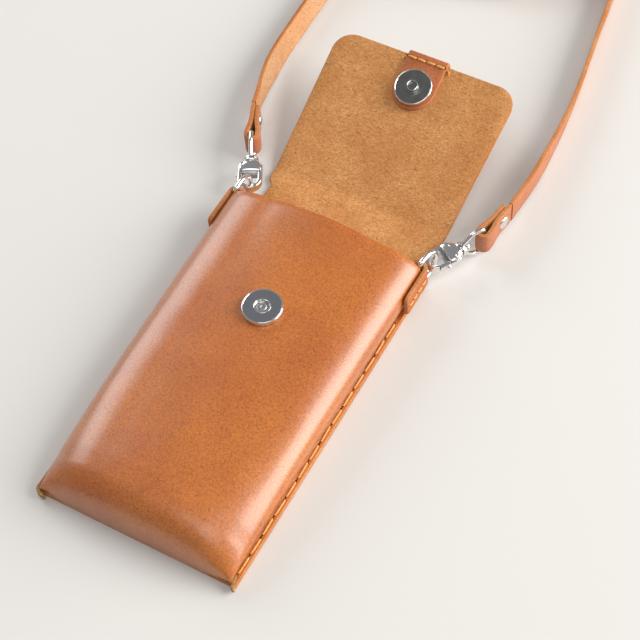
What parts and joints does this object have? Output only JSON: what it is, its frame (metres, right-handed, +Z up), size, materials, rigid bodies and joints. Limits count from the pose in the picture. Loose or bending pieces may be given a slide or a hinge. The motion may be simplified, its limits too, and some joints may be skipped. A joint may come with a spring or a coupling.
{
  "type": "phone pouch",
  "caption": "Leather crossbody phone pouch lying open on its back, with a magnetic snap flap, side rings, snap hooks and a long shoulder strap.",
  "frame": {"origin": "centre of the back's resting face", "axes": "+Y from the bottom fold toward the flap, +Z up from the table through the front, +X to the wearer's side where the strap lies straight"},
  "size_m": [0.1587, 0.4862, 0.0307],
  "materials": {
    "body_leather": "waxed, mottled, with a fibrous inner face",
    "strap_leather": "waxed",
    "thread": "waxed thread",
    "nickel": "polished",
    "snap_face": "dark mirror",
    "magnet": "plated"
  },
  "bodies": {
    "pouch": {"back_panel": "body_leather", "front_shell": "body_leather", "side_stitches_left": "thread", "side_stitches_right": "thread", "ring_tab_left": "strap_leather", "ring_tab_right": "strap_leather", "tab_stitches_left": "thread", "tab_stitches_right": "thread", "front_snap_socket": "snap_face", "front_snap_magnet": "magnet", "front_snap_washer": "nickel", "swivel_eye_left": "nickel", "swivel_eye_right": "nickel", "strap_end_left": "strap_leather", "strap_end_right": "strap_leather", "strap_rivet_left": "nickel", "strap_rivet_right": "nickel", "strap_run_left": "strap_leather", "strap_run_right": "strap_leather", "strap_coil": "strap_leather", "strap_tie": "strap_leather"},
    "bridge": {"flap_bridge": "body_leather"},
    "flap": {"flap_panel": "body_leather", "flap_tab": "strap_leather", "flap_tab_stitches": "thread", "flap_snap_stud": "snap_face", "flap_snap_washer": "nickel"},
    "ring_left": {"d_ring_left": "nickel"},
    "hook_body_left": {"hook_left": "nickel", "gate_pin_left": "nickel"},
    "gate_body_left": {"gate_left": "nickel"},
    "ring_right": {"d_ring_right": "nickel"},
    "hook_body_right": {"hook_right": "nickel", "gate_pin_right": "nickel"},
    "gate_body_right": {"gate_right": "nickel"}
  },
  "joints": [
    {"name": "mouth_crease", "type": "hinge", "parent": "pouch", "child": "bridge", "pos_m": [0, 0.086, 0.002], "axis": [1, 0, 0], "range_deg": [0, 90], "stiffness_Nm_per_rad": 0.05},
    {"name": "flap_crease", "type": "hinge", "parent": "bridge", "child": "flap", "pos_m": [0, 0.1135, 0.002], "axis": [1, 0, 0], "range_deg": [-18, 66.49], "stiffness_Nm_per_rad": 0.2},
    {"name": "ring_turn_left", "type": "hinge", "parent": "pouch", "child": "ring_left", "pos_m": [-0.04818, 0.08219, 0.0116], "axis": [0, 0, 1], "range_deg": [-1.5, 1.5]},
    {"name": "hook_swivel_left", "type": "hinge", "parent": "pouch", "child": "hook_body_left", "pos_m": [-0.04912, 0.09533, 0.01], "axis": [-0.454, 0.891, 0], "range_deg": [-12, 12]},
    {"name": "gate_open_left", "type": "hinge", "parent": "hook_body_left", "child": "gate_body_left", "pos_m": [-0.05641, 0.10128, 0.01], "axis": [0, 0, 1], "range_deg": [0, 14], "stiffness_Nm_per_rad": 0.02, "springref_deg": -11.46},
    {"name": "ring_turn_right", "type": "hinge", "parent": "pouch", "child": "ring_right", "pos_m": [0.04818, 0.08219, 0.0116], "axis": [0, 0, -1], "range_deg": [-1.5, 3]},
    {"name": "hook_swivel_right", "type": "hinge", "parent": "pouch", "child": "hook_body_right", "pos_m": [0.05123, 0.09331, 0.01], "axis": [0.5446, 0.8387, 0], "range_deg": [-12, 12]},
    {"name": "gate_open_right", "type": "hinge", "parent": "hook_body_right", "child": "gate_body_right", "pos_m": [0.05911, 0.09846, 0.01], "axis": [0, 0, -1], "range_deg": [0, 14], "stiffness_Nm_per_rad": 0.02, "springref_deg": -11.46}
  ]
}
